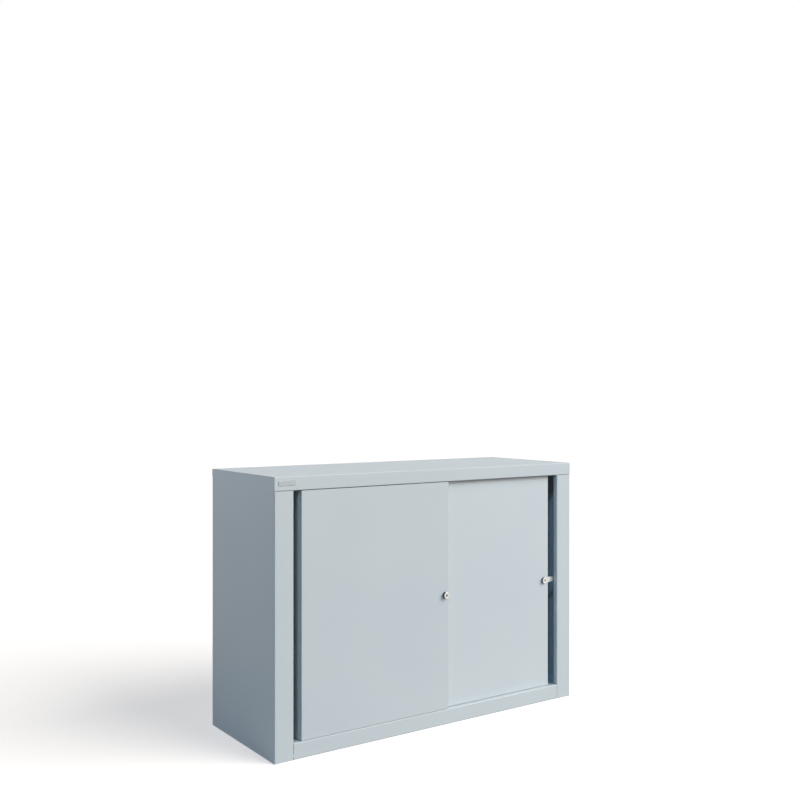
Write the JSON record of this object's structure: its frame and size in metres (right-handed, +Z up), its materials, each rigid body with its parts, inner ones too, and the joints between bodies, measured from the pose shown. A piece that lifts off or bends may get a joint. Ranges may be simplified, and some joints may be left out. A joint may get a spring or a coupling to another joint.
{
  "type": "sliding door cabinet",
  "caption": "Low lockable storage cabinet in folded sheet steel, with overlapping sliding doors hung on rollers and an inner shelf.",
  "frame": {"origin": "on the floor, at the centre of the cabinet's footprint (the locks and the name plate stand in front of it)", "axes": "+X to the right as seen from the front, the doors face -Y, +Z up"},
  "size_m": [1.008, 0.3775, 0.711],
  "materials": {
    "painted_steel": "satin light grey powder coat",
    "zinc_plated_steel": "zinc plated",
    "nickel_plate": "bright nickel plate",
    "spring_steel": "bright drawn",
    "white_nylon": "matte",
    "black_nylon": "matte",
    "grey_rubber": "matte",
    "plate_metal": "satin anodised, blank"
  },
  "bodies": {
    "cabinet": {"left_side_panel": "painted_steel", "right_side_panel": "painted_steel", "top_panel": "painted_steel", "back_panel": "painted_steel", "bottom_rail": "painted_steel", "floor_panel": "painted_steel", "left_liner": "painted_steel", "right_liner": "painted_steel", "shelf": "painted_steel", "shelf_clip_front_left": "zinc_plated_steel", "shelf_clip_back_left": "zinc_plated_steel", "shelf_clip_front_right": "zinc_plated_steel", "shelf_clip_back_right": "zinc_plated_steel", "left_base_channel": "zinc_plated_steel", "right_base_channel": "zinc_plated_steel", "glide_front_left": "black_nylon", "glide_back_left": "black_nylon", "glide_front_right": "black_nylon", "glide_back_right": "black_nylon", "top_track": "zinc_plated_steel", "front_track_left_stop": "grey_rubber", "front_track_right_stop": "grey_rubber", "rear_track_left_stop": "grey_rubber", "rear_track_right_stop": "grey_rubber", "front_door_guide": "white_nylon", "rear_door_guide": "white_nylon", "front_guide_screw": "zinc_plated_steel", "rear_guide_screw": "zinc_plated_steel", "hook_keeper": "zinc_plated_steel", "name_plate": "plate_metal"},
    "front_door": {"front_door_panel": "painted_steel", "front_door_stiffener": "painted_steel", "front_door_channel": "zinc_plated_steel", "front_left_hanger": "zinc_plated_steel", "front_right_hanger": "zinc_plated_steel", "front_left_axle": "spring_steel", "front_right_axle": "spring_steel", "front_lock_housing": "zinc_plated_steel", "front_lock_spring": "spring_steel"},
    "front_left_roller": {"front_left_roller": "white_nylon"},
    "front_right_roller": {"front_right_roller": "white_nylon"},
    "front_lock_plunger": {"front_lock_plunger": "nickel_plate"},
    "front_lock_plug": {"front_lock_plug": "nickel_plate"},
    "rear_door": {"rear_door_panel": "painted_steel", "rear_door_stiffener": "painted_steel", "rear_door_channel": "zinc_plated_steel", "rear_left_hanger": "zinc_plated_steel", "rear_right_hanger": "zinc_plated_steel", "rear_left_axle": "spring_steel", "rear_right_axle": "spring_steel", "rear_lock_cylinder": "nickel_plate", "rear_lock_clip": "spring_steel"},
    "rear_left_roller": {"rear_left_roller": "white_nylon"},
    "rear_right_roller": {"rear_right_roller": "white_nylon"},
    "rear_lock": {"rear_lock_plug": "nickel_plate", "rear_lock_cam": "nickel_plate", "rear_lock_cam_screw": "zinc_plated_steel"}
  },
  "joints": [
    {"name": "front_door_slide", "type": "slide", "parent": "cabinet", "child": "front_door", "axis": [1, 0, 0], "range_m": [0, 0.358]},
    {"name": "rear_door_slide", "type": "slide", "parent": "cabinet", "child": "rear_door", "axis": [-1, 0, 0], "range_m": [0, 0.358]},
    {"name": "front_left_roller_spin", "type": "hinge", "parent": "front_door", "child": "front_left_roller", "pos_m": [-0.3774, -0.1785, 0.6957], "axis": [0, 1, 0], "range_deg": [-10, 1880]},
    {"name": "front_right_roller_spin", "type": "hinge", "parent": "front_door", "child": "front_right_roller", "pos_m": [-0.0104, -0.1785, 0.6957], "axis": [0, 1, 0], "range_deg": [-10, 1880]},
    {"name": "rear_left_roller_spin", "type": "hinge", "parent": "rear_door", "child": "rear_left_roller", "pos_m": [0.0104, -0.166, 0.6957], "axis": [0, -1, 0], "range_deg": [-10, 1880]},
    {"name": "rear_right_roller_spin", "type": "hinge", "parent": "rear_door", "child": "rear_right_roller", "pos_m": [0.3774, -0.166, 0.6957], "axis": [0, -1, 0], "range_deg": [-10, 1880]},
    {"name": "front_lock_push", "type": "slide", "parent": "front_door", "child": "front_lock_plunger", "axis": [0, -1, 0], "range_m": [-0.006, 0], "stiffness_N_per_m": 200, "springref_m": 0.003, "deforming": ["front_lock_spring"]},
    {"name": "front_lock_turn", "type": "hinge", "parent": "front_lock_plunger", "child": "front_lock_plug", "pos_m": [0.0268, -0.19, 0.36], "axis": [0, -1, 0], "range_deg": [0, 90]},
    {"name": "rear_lock_turn", "type": "hinge", "parent": "rear_door", "child": "rear_lock", "pos_m": [0.409, -0.168, 0.36], "axis": [0, -1, 0], "range_deg": [-12, 90]}
  ],
  "couplings": [
    {"joint": "front_left_roller_spin", "follows": "front_door_slide", "rad_per_m": 90.909},
    {"joint": "front_right_roller_spin", "follows": "front_door_slide", "rad_per_m": 90.909},
    {"joint": "rear_left_roller_spin", "follows": "rear_door_slide", "rad_per_m": 90.909},
    {"joint": "rear_right_roller_spin", "follows": "rear_door_slide", "rad_per_m": 90.909}
  ]
}
